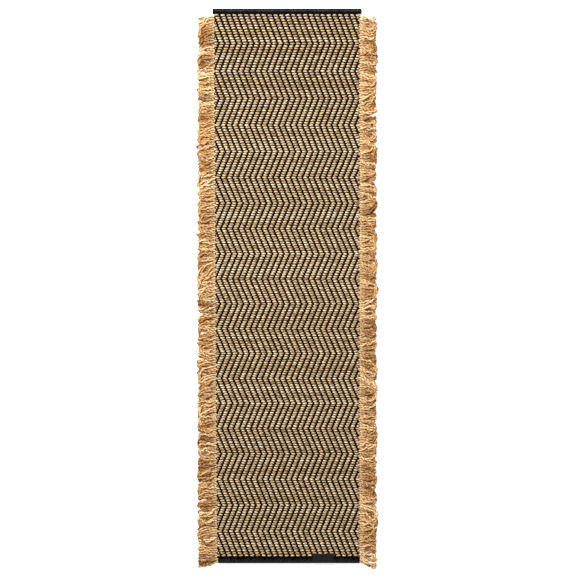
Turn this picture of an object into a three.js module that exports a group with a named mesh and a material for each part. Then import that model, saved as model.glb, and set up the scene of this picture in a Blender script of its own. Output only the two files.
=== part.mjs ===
// A flat-woven runner rug: thick two-ply jute weft packed over black cotton warp in a pointed twill,
// with the weft left long as a looped fringe down both long sides, and a black cotton tape folded
// over each short end. Millimetres. +X runs across the rug to the right, +Y along it to the head end,
// +Z up. The origin is on the floor under the middle of the rug.
//
// Every piece is one closed body, and pieces that touch on the real rug stand a small clearance apart.
import * as THREE from 'three';

// ---------------------------------------------------------------- driving dimensions

// The whole rug.
const overallLength = 2500; // end of the head binding to end of the foot binding
const overallWidth = 800; // tip of one fringe to tip of the other
const clearance = 0.3; // between pieces that touch

// The woven cloth. It draws in towards the foot, and its foot end sits a little to the right.
const headClothWidth = 672;
const footClothWidth = 640;
const footClothShift = 9;
const clothThickness = 10;
const pressedThickness = 3.6; // the cloth's two ends, squeezed flat inside the bindings

// The outermost black warp on each side, which the weft turns around before it becomes fringe.
const warpWidth = 4.4;
const warpHeight = 4;
const warpSides = 8;

// The fringe: the looped ends of the weft, lying close together as one mat on each side.
const fringeThickness = 8;
const fringeHeadGap = 9; // from the head binding's inner edge to the first cord
const fringeFootGap = 2; // from the rug's foot end to the last cord
const fringeTuftWidth = 32; // along the rug, for one clump of about three cords
const fringeTuftDepth = 6; // from the tip of a clump to the notch beside it

// The tape folded over each end, as wide as it shows on the face.
const headBindingDepth = 25;
const footBindingDepth = 29;
const tapeThickness = 1;

// The lockstitch that holds each tape: a needle thread on the face and a bobbin thread underneath.
const seamThread = 1;
const seamInset = 4; // from the tape's inner edge to the row of stitches
const seamEndInset = 3; // from the cloth's edge to the end of the row
const seamStitch = 8;

// The zigzag stitch inside each tape that keeps the cut warp ends from fraying.
const lockThread = 0.5;
const lockInset = 9; // from the tape's fold to the middle of the zigzag
const lockSwing = 5; // from the zigzag's points on one side to those on the other
const lockStitch = 10; // along the row, from one point to the next

// The blank woven label on the foot end, with its two short ends turned under.
const labelWidth = 94;
const labelHeight = 41;
const labelClothThickness = 0.4;
const labelTurn = 8;
const labelEndInset = 1; // from the rug's foot end to the label
const labelOffset = 156; // from the middle of the foot end to the middle of the label
const labelThread = 0.6;
const labelThreadInset = 3;
const labelStitch = 4;

// Every stitch is a flat-topped hump of thread: how much of the thread shows where it dips, and how
// much of the stitch's length each of its two slopes takes.
const stitchDip = 0.35;
const stitchSlope = 0.2;

// ---------------------------------------------------------------- finishes

const finishes = {
  weave: { color: '#8a7358', roughness: 0.9, metalness: 0 },
  jute: { color: '#c4995f', roughness: 0.88, metalness: 0 },
  cotton: { color: '#1c1a1c', roughness: 0.85, metalness: 0 },
  tape: { color: '#232225', roughness: 0.7, metalness: 0 },
  thread: { color: '#2b2a2d', roughness: 0.55, metalness: 0 },
  label: { color: '#151417', roughness: 0.5, metalness: 0 },
};

const rug = new THREE.Group();

// Adds one named piece to the rug.
function addPiece(name, geometry, finish) {
  const piece = new THREE.Mesh(geometry, new THREE.MeshStandardMaterial(finishes[finish]));
  piece.name = name;
  rug.add(piece);
}

// ---------------------------------------------------------------- levels and edges

const HEAD = 1;
const FOOT = -1;
const LEFT = -1;
const RIGHT = 1;
const halfLength = overallLength / 2;

// Heights through a bound end, from the floor up: bobbin thread, tape, lock thread, pressed cloth,
// lock thread, tape, needle thread.
const tapeBottom = seamThread + clearance;
const lockRoom = lockThread + 2 * clearance;
const pressedBottom = tapeBottom + tapeThickness + lockRoom;
const pressedTop = pressedBottom + pressedThickness;
const tapeTop = pressedTop + lockRoom + tapeThickness;
const foldRadius = (tapeTop - tapeBottom) / 2;
const needleTop = tapeTop + clearance + seamThread;

// How far each binding reaches in from its end of the rug.
const bindingDepth = (end) => (end === HEAD ? headBindingDepth : footBindingDepth);

// A place along the rug from its distance in from one end.
const inFrom = (end, distance) => end * (halfLength - distance);

// The cloth's left or right edge: a straight line from its corner at the head to that at the foot.
function clothEdge(side, y) {
  const towardsFoot = (halfLength - y) / overallLength;
  const headCorner = (side * headClothWidth) / 2;
  const footCorner = (side * footClothWidth) / 2 + footClothShift;
  return THREE.MathUtils.lerp(headCorner, footCorner, towardsFoot);
}

// ---------------------------------------------------------------- shape makers

// An outline drawn along the rug and up (y, z), run across it from edge to edge of the cloth.
function acrossCloth(outline) {
  const geometry = new THREE.ExtrudeGeometry(outline, { depth: 1, bevelEnabled: false, curveSegments: 8 });
  const place = geometry.getAttribute('position');
  for (let i = 0; i < place.count; i += 1) {
    const y = place.getX(i);
    const z = place.getY(i);
    const x = THREE.MathUtils.lerp(clothEdge(LEFT, y), clothEdge(RIGHT, y), place.getZ(i));
    place.setXYZ(i, x, y, z);
  }
  return geometry;
}

// An outline drawn flat (x, y), standing from one height to another.
function upFromFlat(outline, bottom, top) {
  const geometry = new THREE.ExtrudeGeometry(outline, {
    depth: top - bottom,
    bevelEnabled: false,
    curveSegments: 2,
  });
  return geometry.translate(0, 0, bottom);
}

// An outline drawn across and up (x, z), run along the rug from one place to a lower one.
function alongRug(outline, fromY, toY) {
  const geometry = new THREE.ExtrudeGeometry(outline, { depth: fromY - toY, bevelEnabled: false });
  return geometry.rotateX(Math.PI / 2).translate(0, fromY, 0);
}

// A row of stitches seen from its side: one hump for each stitch, joined where the thread dips.
// Base is the height of the face it lies on, and up is 1 above that face or -1 below it.
function stitchRow(fromX, toX, base, up, thickness, stitch) {
  const count = Math.max(1, Math.round((toX - fromX) / stitch));
  const pitch = (toX - fromX) / count;
  const crest = base + up * thickness;
  const dip = base + up * thickness * stitchDip;
  const row = new THREE.Shape();
  row.moveTo(fromX, base);
  for (let i = 0; i < count; i += 1) {
    const start = fromX + i * pitch;
    row.lineTo(start, dip);
    row.lineTo(start + pitch * stitchSlope, crest);
    row.lineTo(start + pitch * (1 - stitchSlope), crest);
  }
  row.lineTo(toX, dip);
  row.lineTo(toX, base);
  row.closePath();
  return row;
}

// ---------------------------------------------------------------- cloth and outer warps

// The cloth's side view: full thickness on the floor, with a thin pressed tongue into each binding.
function wovenField() {
  const tongue = (end) => inFrom(end, foldRadius + clearance);
  const shoulder = (end) => inFrom(end, bindingDepth(end) + clearance);
  const side = new THREE.Shape();
  side.moveTo(shoulder(FOOT), 0);
  side.lineTo(shoulder(HEAD), 0);
  side.lineTo(shoulder(HEAD), pressedBottom);
  side.lineTo(tongue(HEAD), pressedBottom);
  side.lineTo(tongue(HEAD), pressedTop);
  side.lineTo(shoulder(HEAD), pressedTop);
  side.lineTo(shoulder(HEAD), clothThickness);
  side.lineTo(shoulder(FOOT), clothThickness);
  side.lineTo(shoulder(FOOT), pressedTop);
  side.lineTo(tongue(FOOT), pressedTop);
  side.lineTo(tongue(FOOT), pressedBottom);
  side.lineTo(shoulder(FOOT), pressedBottom);
  side.closePath();
  return acrossCloth(side);
}

// A straight cord beside the cloth's edge, from just inside one binding's edge to the other's.
function selvedgeWarp(side) {
  const headY = inFrom(HEAD, headBindingDepth + clearance);
  const footY = inFrom(FOOT, footBindingDepth + clearance);
  const section = new THREE.Shape();
  for (let i = 0; i < warpSides; i += 1) {
    const turn = (2 * Math.PI * (i + 0.5)) / warpSides;
    const reach = 1 / Math.cos(Math.PI / warpSides);
    const x = (Math.cos(turn) * reach * warpWidth) / 2;
    const z = clothThickness / 2 + (Math.sin(turn) * reach * warpHeight) / 2;
    if (i === 0) section.moveTo(x, z);
    else section.lineTo(x, z);
  }
  section.closePath();
  const geometry = alongRug(section, headY, footY);
  const place = geometry.getAttribute('position');
  for (let i = 0; i < place.count; i += 1) {
    const middle = clothEdge(side, place.getY(i)) + side * (clearance + warpWidth / 2);
    place.setX(i, place.getX(i) + middle);
  }
  return geometry;
}

addPiece('woven_field', wovenField(), 'weave');
addPiece('selvedge_warp_left', selvedgeWarp(LEFT), 'cotton');
addPiece('selvedge_warp_right', selvedgeWarp(RIGHT), 'cotton');

// ---------------------------------------------------------------- fringe

// A mat whose inner edge follows the outer warp and whose outer edge is a row of half ellipses, one
// for each clump of cords.
function fringe(side) {
  const headY = inFrom(HEAD, headBindingDepth + fringeHeadGap);
  const footY = inFrom(FOOT, fringeFootGap);
  const inner = (y) => clothEdge(side, y) + side * (warpWidth + 2 * clearance);
  const notch = side * (overallWidth / 2 - fringeTuftDepth);
  const tufts = Math.round((headY - footY) / fringeTuftWidth);
  const pitch = (headY - footY) / tufts;
  const flat = new THREE.Shape();
  flat.moveTo(inner(headY), headY);
  flat.lineTo(notch, headY);
  const headwards = Math.PI / 2;
  const footwards = side === RIGHT ? -headwards : 3 * headwards;
  for (let i = 0; i < tufts; i += 1) {
    const middle = headY - (i + 0.5) * pitch;
    flat.absellipse(notch, middle, fringeTuftDepth, pitch / 2, headwards, footwards, side === RIGHT);
  }
  flat.lineTo(inner(footY), footY);
  flat.closePath();
  return upFromFlat(flat, 0, fringeThickness);
}

addPiece('fringe_left', fringe(LEFT), 'jute');
addPiece('fringe_right', fringe(RIGHT), 'jute');

// ---------------------------------------------------------------- end bindings

// A tape seen from the side: under the cloth, round the end and back over it, with a round fold.
function binding(end) {
  const edge = inFrom(end, bindingDepth(end));
  const foldY = inFrom(end, foldRadius);
  const middle = (tapeTop + tapeBottom) / 2;
  const inside = foldRadius - tapeThickness;
  const down = -Math.PI / 2;
  const up = end === HEAD ? Math.PI / 2 : (-3 * Math.PI) / 2;
  const tape = new THREE.Shape();
  tape.moveTo(edge, tapeBottom);
  tape.lineTo(foldY, tapeBottom);
  tape.absarc(foldY, middle, foldRadius, down, up, end === FOOT);
  tape.lineTo(edge, tapeTop);
  tape.lineTo(edge, tapeTop - tapeThickness);
  tape.lineTo(foldY, tapeTop - tapeThickness);
  tape.absarc(foldY, middle, inside, up, down, end === HEAD);
  tape.lineTo(edge, tapeBottom + tapeThickness);
  tape.closePath();
  return acrossCloth(tape);
}

// The two threads of the seam that holds a tape, a short way in from the tape's inner edge.
function seamRow(end, up) {
  const rowY = inFrom(end, bindingDepth(end) - seamInset);
  const base = up > 0 ? tapeTop + clearance : tapeBottom - clearance;
  const fromX = clothEdge(LEFT, rowY) + seamEndInset;
  const toX = clothEdge(RIGHT, rowY) - seamEndInset;
  const row = stitchRow(fromX, toX, base, up, seamThread, seamStitch);
  return alongRug(row, rowY + seamThread / 2, rowY - seamThread / 2);
}

// A zigzag line of thread lying flat on one face of the pressed cloth, under the tape.
function lockRow(end, up) {
  const rowY = inFrom(end, lockInset);
  const fromX = clothEdge(LEFT, rowY) + seamEndInset;
  const toX = clothEdge(RIGHT, rowY) - seamEndInset;
  const count = Math.round((toX - fromX) / lockStitch);
  const pitch = (toX - fromX) / count;
  const reach = lockSwing / 2 - lockThread;
  const near = [];
  const far = [];
  for (let i = 0; i <= count; i += 1) {
    const x = fromX + i * pitch;
    const y = rowY + (i % 2 === 0 ? -reach : reach);
    near.push(new THREE.Vector2(x, y - lockThread));
    far.unshift(new THREE.Vector2(x, y + lockThread));
  }
  const bottom = up > 0 ? pressedTop + clearance : pressedBottom - clearance - lockThread;
  return upFromFlat(new THREE.Shape([...near, ...far]), bottom, bottom + lockThread);
}

for (const [name, end] of [['head', HEAD], ['foot', FOOT]]) {
  addPiece(`${name}_binding`, binding(end), 'tape');
  addPiece(`${name}_seam_needle_thread`, seamRow(end, 1), 'thread');
  addPiece(`${name}_seam_bobbin_thread`, seamRow(end, -1), 'thread');
  addPiece(`${name}_lock_needle_thread`, lockRow(end, 1), 'thread');
  addPiece(`${name}_lock_bobbin_thread`, lockRow(end, -1), 'thread');
}

// ---------------------------------------------------------------- label

const labelY = inFrom(FOOT, labelEndInset + labelHeight / 2);
const labelX = footClothShift + labelOffset;
const labelBottom = Math.max(needleTop, clothThickness) + clearance;
const labelTop = labelBottom + 2 * labelClothThickness + clearance;

// A strip seen from the rug's foot end, with each short end turned back under itself.
function label() {
  const left = labelX - labelWidth / 2;
  const right = labelX + labelWidth / 2;
  const underTop = labelBottom + labelClothThickness;
  const overBottom = labelTop - labelClothThickness;
  const strip = new THREE.Shape();
  strip.moveTo(left, labelBottom);
  strip.lineTo(left + labelTurn, labelBottom);
  strip.lineTo(left + labelTurn, underTop);
  strip.lineTo(left + labelClothThickness, underTop);
  strip.lineTo(left + labelClothThickness, overBottom);
  strip.lineTo(right - labelClothThickness, overBottom);
  strip.lineTo(right - labelClothThickness, underTop);
  strip.lineTo(right - labelTurn, underTop);
  strip.lineTo(right - labelTurn, labelBottom);
  strip.lineTo(right, labelBottom);
  strip.lineTo(right, labelTop);
  strip.lineTo(left, labelTop);
  strip.closePath();
  return alongRug(strip, labelY + labelHeight / 2, labelY - labelHeight / 2);
}

// The stitches down one end of the label: the same row of humps, turned to run along the rug.
function labelStitches(side) {
  const reach = labelHeight / 2 - labelThreadInset;
  const row = stitchRow(-reach, reach, labelTop + clearance, 1, labelThread, labelStitch);
  const x = labelX + side * (labelWidth / 2 - labelThreadInset);
  const geometry = alongRug(row, labelThread / 2, -labelThread / 2);
  return geometry.rotateZ(Math.PI / 2).translate(x, labelY, 0);
}

addPiece('label', label(), 'label');
addPiece('label_thread_left', labelStitches(LEFT), 'thread');
addPiece('label_thread_right', labelStitches(RIGHT), 'thread');

export default rug;
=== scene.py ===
# %% [markdown]
# # A flat-woven runner rug
#
# The rug is thick two-ply jute, packed over black cotton warp in a pointed twill, so that black
# zigzags run down a field of pale beads. The jute is left long as a looped fringe on both long
# sides, and a black tape is folded over each short end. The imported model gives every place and
# size. This script replaces its plain solids with the yarns, cords, tapes and threads themselves.

import bpy
import numpy as np
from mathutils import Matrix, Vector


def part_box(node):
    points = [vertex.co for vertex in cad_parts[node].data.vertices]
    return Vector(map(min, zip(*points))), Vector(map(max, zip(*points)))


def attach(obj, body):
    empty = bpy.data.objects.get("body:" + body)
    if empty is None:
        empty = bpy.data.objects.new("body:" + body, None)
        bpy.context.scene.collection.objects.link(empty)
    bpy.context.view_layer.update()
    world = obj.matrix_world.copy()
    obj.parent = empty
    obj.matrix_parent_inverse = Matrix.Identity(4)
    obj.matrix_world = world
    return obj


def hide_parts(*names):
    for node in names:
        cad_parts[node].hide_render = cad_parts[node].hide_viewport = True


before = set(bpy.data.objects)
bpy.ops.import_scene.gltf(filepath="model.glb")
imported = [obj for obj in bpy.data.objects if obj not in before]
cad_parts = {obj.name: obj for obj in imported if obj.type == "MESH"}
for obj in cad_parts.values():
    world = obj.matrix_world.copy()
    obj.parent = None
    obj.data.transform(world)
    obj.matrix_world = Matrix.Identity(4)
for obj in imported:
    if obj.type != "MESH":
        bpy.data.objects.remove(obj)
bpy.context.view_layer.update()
MM = 0.001
dice = np.random.default_rng(231)

# %% [markdown]
# ## Where the cloth lies
#
# The cloth isn't a rectangle: it draws in towards the foot, as a hand-beaten cloth does, and its
# edges lie a little inside the ends of the two bindings. So each edge is a straight line between two
# points that are measured in from the bindings' corners. Everything across the rug is counted in
# warps and everything along it in picks, which is how a weaver counts, and two functions turn those
# counts into metres.

# %% Edges, picks and warps
HEAD, FOOT, LEFT, RIGHT = 1, -1, -1, 1
head_low, head_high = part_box("head_binding")
foot_low, foot_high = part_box("foot_binding")
HEAD_LINE = head_low[1]  # where the weave comes out of the head binding
FOOT_LINE = foot_high[1]
HALF_LENGTH = head_high[1]
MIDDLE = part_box("woven_field")[1][2] / 2  # halfway up the cloth

PICKS = 231
PICKS_A_BAND = 11  # the zigzag turns after this many picks
WARPS = 147
REPEAT = 6  # warps in one repeat of the twill
FLOAT = 4  # of those, the warps that the jute passes over
LOOSER_ENDS = 0.445  # how much looser the cloth is beaten away from its tightest place
TIGHTEST = 0.587  # that place, as a share of the way to the foot
DRAWN_IN = {LEFT: (10 * MM, 0.0), RIGHT: (12 * MM, 7 * MM)}  # from the bindings' ends, head and foot


def cloth_edge(side, y):
    """The cloth's left or right edge at y: a straight line between points inside the bindings' ends."""
    head_x, foot_x = (head_low[0], foot_low[0]) if side == LEFT else (head_high[0], foot_high[0])
    head_x, foot_x = head_x - side * DRAWN_IN[side][0], foot_x - side * DRAWN_IN[side][1]
    share = (HALF_LENGTH - y) / (2 * HALF_LENGTH)
    return head_x + (foot_x - head_x) * share


def pick_y(pick):
    """Where a pick lies: the sum of gaps that grow with the square of the way from the tightest place."""
    def travelled(share):
        return share + LOOSER_ENDS * ((share - TIGHTEST) ** 3 + TIGHTEST**3) / 3

    share = (np.asarray(pick) + 0.5) / PICKS
    return HEAD_LINE - (HEAD_LINE - FOOT_LINE) * travelled(share) / travelled(1.0)


def warp_x(warp, y):
    """Where a warp crosses y: its share of the way from the left edge to the right edge."""
    left, right = cloth_edge(LEFT, y), cloth_edge(RIGHT, y)
    return left + (right - left) * (np.asarray(warp) + 0.5) / WARPS


def twill_step(pick):
    """How many warps the pattern has moved right at a pick: up by one a pick, then down again."""
    return PICKS_A_BAND - np.abs(np.asarray(pick) % (2 * PICKS_A_BAND) - PICKS_A_BAND)


pick_gap = float(np.mean(-np.diff(pick_y(np.arange(PICKS)))))
warp_gap = float(warp_x(1, 0.0) - warp_x(0, 0.0))
print(f"one pick every {pick_gap / MM:.2f} mm, one warp every {warp_gap / MM:.2f} mm")

# %% [markdown]
# ## One way to make every cord
#
# Weft, warp, fringe and thread are all the same kind of thing: a section carried along a path. A
# curve object with a bevel could do it, but hundreds of curves with a twisted two-ply section are
# slow and can't carry a colour of their own. So all the cords of a piece are worked out together as
# one array: paths are (cord, station, xyz), and the section turns round the path as it goes. The
# corners of the section stay on the same ply, so each edge of the mesh is a true spiral.

# %% Cords carried along paths
TWO_PLY = np.array([1.0, 0.97, 0.76, 0.97, 1.0, 0.97, 0.76, 0.97])  # two strands side by side
ROUND = np.ones(8)
FINE = np.ones(6)


def wander(along, waves, seed_rows):
    """A smooth random sway of about 1: a sum of sines, with a wavelength and a random start each."""
    starts = dice.uniform(0, 2 * np.pi, (seed_rows, len(waves)))
    total = sum(np.sin(2 * np.pi * along / wave + starts[:, i, None]) for i, wave in enumerate(waves))
    return total / np.sqrt(len(waves))


def running_sum(steps):
    """The sum of the steps so far along the last axis, from 0 before the first one."""
    return np.concatenate([np.zeros_like(steps[..., :1]), np.cumsum(steps, axis=-1)], axis=-1)


def lengths_along(path):
    """The distance travelled along each path at each station."""
    return running_sum(np.linalg.norm(np.diff(path, axis=1), axis=2))


def carry(path, wide, high, twist, section=TWO_PLY):
    """Places a section round each path. At angle a, a corner stands out from the path by the section's
    radius times (wide * cos a, high * sin a), with a growing by the twist, along the level direction
    square to the path and the direction square to both."""
    ahead = np.gradient(path, axis=1)
    ahead /= np.linalg.norm(ahead, axis=2, keepdims=True)
    level = np.cross(np.broadcast_to([0.0, 0.0, 1.0], ahead.shape), ahead)
    level /= np.linalg.norm(level, axis=2, keepdims=True)
    upward = np.cross(ahead, level)
    angle = 2 * np.pi * np.arange(len(section)) / len(section) + twist[..., None]
    out = (section * wide[..., None] * np.cos(angle))[..., None] * level[:, :, None, :]
    out = out + (section * high[..., None] * np.sin(angle))[..., None] * upward[:, :, None, :]
    return path[:, :, None, :] + out


def tube_faces(cords, stations, corners):
    """Quads between neighbouring rings, and one many-sided face over each end, facing outwards."""
    number = np.arange(cords * stations * corners).reshape(cords, stations, corners)
    after = np.roll(number, -1, axis=2)
    quads = np.stack([number[:, :-1], after[:, :-1], after[:, 1:], number[:, 1:]], axis=-1)
    return quads.reshape(-1, 4), np.concatenate([number[:, 0, ::-1], number[:, -1]])


# %% [markdown]
# ## From arrays to a mesh
#
# Each piece keeps three facts for its material: a random number for each cord, so that no two cords
# have quite the same colour; the distance along the cord; and the place round it. The last two are a
# UV map in metres and turns. A second map lays every cord in a strip of its own, so that a texture
# can be painted on the piece without two cords sharing a spot.

# %% Meshes from arrays
STRIP_MARGIN = 0.06  # the share of a cord's strip that stays free on either side
CAP_LINE = 0.02  # where in that margin the cord's ends are laid


def add_object(name, data):
    """An object of that name in the scene."""
    thing = bpy.data.objects.new(name, data)
    bpy.context.scene.collection.objects.link(thing)
    return thing


def finish_mesh(name, points, faces):
    """A mesh object from points and a list of face arrays, each with faces of one size."""
    sizes = np.concatenate([np.full(len(f), f.shape[1]) for f in faces])
    mesh = bpy.data.meshes.new(name)
    mesh.vertices.add(len(points))
    mesh.vertices.foreach_set("co", np.ascontiguousarray(points, dtype=np.float32).ravel())
    mesh.loops.add(int(sizes.sum()))
    mesh.loops.foreach_set("vertex_index", np.concatenate([f.ravel() for f in faces]).astype(np.int32))
    mesh.polygons.add(len(sizes))
    starts = np.concatenate([[0], np.cumsum(sizes)[:-1]])
    mesh.polygons.foreach_set("loop_start", starts.astype(np.int32))
    mesh.polygons.foreach_set("use_smooth", np.ones(len(sizes), dtype=bool))
    mesh.update(calc_edges=True)
    mesh.validate()
    return add_object(name, mesh)


def add_maps(piece, own_name, own_places, painting_places):
    """The piece's own UV map and its map for painting, from one (u, v) for each face corner."""
    for name, places in ((own_name, own_places), ("OFBake", painting_places)):
        layer = piece.data.uv_layers.new(name=name)
        layer.data.foreach_set("uv", np.ascontiguousarray(places, dtype=np.float32).ravel())
    own = piece.data.uv_layers[own_name]
    own.active = own.active_render = True


def add_fact(piece, name, values):
    """A number for each point, which the material reads by name."""
    fact = piece.data.attributes.new(name, "FLOAT", "POINT")
    fact.data.foreach_set("value", np.ascontiguousarray(values, dtype=np.float32).ravel())


def make_cords(name, rings, tint):
    """A piece from rings of points (cord, station, corner, xyz) with a tint from 0 to 1 for each cord."""
    cords, stations, corners, _ = rings.shape
    quads, caps = tube_faces(cords, stations, corners)
    piece = finish_mesh(name, rings.reshape(-1, 3), [quads, caps])
    add_fact(piece, "tint", np.repeat(tint, stations * corners))
    along = lengths_along(rings.mean(axis=2))
    cord, station, corner = np.meshgrid(
        np.arange(cords), np.arange(stations - 1), np.arange(corners), indexing="ij"
    )
    u = np.stack([along[cord, station + step] for step in (0, 0, 1, 1)], axis=-1)
    v = np.stack([corner + step for step in (0, 1, 1, 0)], axis=-1) / corners
    cap_v = np.tile(np.arange(corners) / corners, (2 * cords, 1))
    cap_u = np.repeat(np.concatenate([along[:, 0], along[:, -1]]), corners).reshape(-1, corners)
    # Each cord's own strip: its length fills the map's width, and the strips lie one above another.
    strip = (cord[..., None] + STRIP_MARGIN + (1 - 2 * STRIP_MARGIN) * v) / cords
    share = np.stack([station + step for step in (0, 0, 1, 1)], axis=-1) / (stations - 1)
    cap_cord = np.repeat(np.concatenate([np.arange(cords)] * 2), corners).reshape(-1, corners)
    ends = np.repeat(np.repeat([0.0, 1.0], cords), corners).reshape(-1, corners)
    painting = stack_places(share, strip, ends, (cap_cord + CAP_LINE) / cords)
    add_maps(piece, "cord", stack_places(u, v, cap_u, cap_v), painting)
    print(f"{name}: {cords} cords, {2 * len(quads) + len(caps) * (corners - 2):,} triangles")
    return piece


def stack_places(quad_u, quad_v, cap_u, cap_v):
    """(u, v) pairs for the quads' corners and then for the caps' corners."""
    quad = np.stack([quad_u, quad_v], axis=-1).reshape(-1, 2)
    cap = np.stack([cap_u, cap_v], axis=-1).reshape(-1, 2)
    return np.concatenate([quad, cap])


# %% [markdown]
# ## The jute weft
#
# A pick passes over four warps and under two. Its height is a smooth switch between those: the tanh
# of how far inside its float the yarn is, so it lies flat on top and dips steeply at the ends, which
# is what makes each float look like a bead. At the cloth's edges the picks go over and under the
# outermost warp in turn. A weaver takes the yarn from several shuttles in turn so that a darker skein
# never makes a stripe. The picks of each shuttle are one piece.

# %% Weft yarns
SHUTTLES = 4
WEFT_WIDE, WEFT_HIGH = 4.75 * MM, 3.6 * MM  # half of a yarn's width and height
WEFT_RISE = 1.45 * MM  # from the cloth's middle up to the yarn's middle on a float
HALF_SHOWN = 1.3  # warps from the middle of a float to where it drops out of sight
DROP_STEEPNESS = 2.4  # how suddenly it drops there
EDGE_RISE = 0.9  # the share of the full rise, up or down, as a pick passes the outermost warp
PAST_LAST_WARP = 1.6  # warps from the last one to the pick's end, inside the fringe's roots
WEFT_SWAY, WEFT_BOUNCE = 0.55 * MM, 0.2 * MM  # along the rug, and up and down
WEFT_SPUN = 0.085  # how much thicker and thinner the yarn is spun
SQUEEZED = 0.2  # how much thinner it is pressed under the warps
WEFT_PITCH = 38 * MM  # one turn of a ply round the other
WEFT_STATIONS = 200


def weft_lift(warp, pick):
    """From 1 on top of the warps to -1 under them: the tanh of the distance inside the float."""
    phase = (warp - twill_step(pick) + 0.5) % REPEAT - 0.5
    from_middle = np.abs(phase - (FLOAT - 1) / 2)
    from_middle = np.minimum(from_middle, REPEAT - from_middle)
    return np.tanh(DROP_STEEPNESS * (HALF_SHOWN - from_middle))


def weft_rings(picks):
    """The rings of the given picks, with their hand-spun thick and thin places."""
    rows = len(picks)
    warp = np.linspace(-PAST_LAST_WARP, WARPS - 1 + PAST_LAST_WARP, WEFT_STATIONS)
    warp = warp[None, :].repeat(rows, axis=0)
    y = pick_y(picks)[:, None]
    x = warp_x(warp, y)
    lift = weft_lift(warp, picks[:, None])
    past_edge = np.clip(0.5 - np.minimum(warp + 0.5, WARPS - 0.5 - warp), 0, 1)
    at_edge = np.where(picks % 2 == 0, EDGE_RISE, -EDGE_RISE)[:, None]
    lift = lift * (1 - past_edge) + at_edge * past_edge
    y = y + WEFT_SWAY * wander(x, (0.11, 0.23, 0.41), rows)
    z = MIDDLE + WEFT_RISE * lift + WEFT_BOUNCE * wander(x, (0.05, 0.3), rows)
    spun = 1 + WEFT_SPUN * wander(x, (0.026, 0.058, 0.15), rows)
    squeezed = 1 - SQUEEZED * (1 - lift) / 2
    twist = 2 * np.pi * x / WEFT_PITCH + dice.uniform(0, 2 * np.pi, rows)[:, None]
    path = np.stack([x, y, z], axis=-1)
    return carry(path, WEFT_WIDE * spun * squeezed, WEFT_HIGH * spun * squeezed, twist)


wefts, weft_surfaces = [], []
for shuttle in range(SHUTTLES):
    picks = np.arange(shuttle, PICKS, SHUTTLES)
    tint = dice.beta(2.2, 2.2, len(picks))
    weft_surfaces.append(weft_rings(picks))
    wefts.append(make_cords(f"weft_shuttle_{shuttle + 1}", weft_surfaces[-1], tint))

# %% [markdown]
# ## The black warp
#
# The warp does the opposite of the weft: it comes up where the jute goes down. It has one station
# at each crossing, and the smooth shading rounds what lies between two of them. On the loom the warps
# are threaded on six shafts, one for each warp of the repeat, and each shaft's warps are one piece
# here. The outermost warp on each side holds the ends of the picks, so it simply goes under one and
# over the next.

# %% Warp yarns
WARP_WIDE, WARP_HIGH = 2.2 * MM, 1.5 * MM
WARP_RISE = 2.6 * MM
IN_BINDING = 0.15  # the share of that rise inside a binding, where the warp is pressed flat
WARP_SWAY = 0.25 * MM
FLAT_YARN = np.ones(5)
SELVEDGE_WIDE, SELVEDGE_HIGH = 2.6 * MM, 2.0 * MM
SELVEDGE_OUT = 0.07  # warps beyond the next warp's place
SELVEDGE_MIDDLE, SELVEDGE_WAVE = 0.5 * MM, 2.3 * MM  # above the cloth's middle, and to either side


def warp_rings(warps, plain_weave=False, section=FLAT_YARN, wide=WARP_WIDE, high=WARP_HIGH):
    """The rings of the given warps: at each crossing, up where the weft is down."""
    rows = len(warps)
    pick = np.arange(-1, PICKS + 1)
    column = np.asarray(warps, dtype=float)[:, None]
    y = pick_y(pick)[None, :].repeat(rows, axis=0)
    if plain_weave:
        z = MIDDLE + SELVEDGE_MIDDLE + SELVEDGE_WAVE * np.where(pick % 2 == 0, -1, 1)[None, :]
    else:
        down = (column - twill_step(pick)) % REPEAT < FLOAT
        covered = (pick < 0) | (pick > PICKS - 1)
        z = MIDDLE + WARP_RISE * np.where(covered, IN_BINDING, 1) * np.where(down, -1, 1)
    x = warp_x(column, y) + WARP_SWAY * wander(y, (0.033, 0.09, 0.27), rows)
    size = 1 + 0.05 * wander(y, (0.024, 0.11), rows)
    twist = 0.15 * wander(y, (0.05, 0.17), rows) + np.pi / 2
    path = np.stack([x, y, z], axis=-1)
    return carry(path, wide * size, high * size, twist, section)


warps = []
for shaft in range(REPEAT):
    columns = np.arange(shaft, WARPS, REPEAT)
    tint = dice.uniform(0, 1, len(columns))
    warps.append(make_cords(f"warp_shaft_{shaft + 1}", warp_rings(columns), tint))
selvedges = {}
for name, column in (("selvedge_warp_left", -1 - SELVEDGE_OUT),
                     ("selvedge_warp_right", WARPS + SELVEDGE_OUT)):
    rings = warp_rings([column], True, ROUND, SELVEDGE_WIDE, SELVEDGE_HIGH)
    selvedges[name] = make_cords(f"{name}_yarn", rings, np.array([0.5]))

# %% [markdown]
# ## The looped fringe
#
# A shuttle never cuts its yarn: it carries it out past the edge, turns, and comes back in the next
# shed. Off the loom, each of those long turns twists up on itself, so the fringe is a mat of kinked
# loops that lie over each other. One loop is two legs on a shared spine, and the spine is drawn as a
# walker would: it has a heading that sways a little and turns more and more near the tip, and its
# place is the sum of its steps. The legs lie either side of it, a pick apart at the root, and meet in
# a round turn. The spines lean towards the foot. The loops lie in two layers: an even bed of flat
# loops side by side, and freer ones on top that sway and curl, and whose legs may wind round each
# other. Longer and shorter loops come in tufts. The last loops of both layers belong to picks that
# are hidden in the foot binding and come out at its ends.

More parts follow.
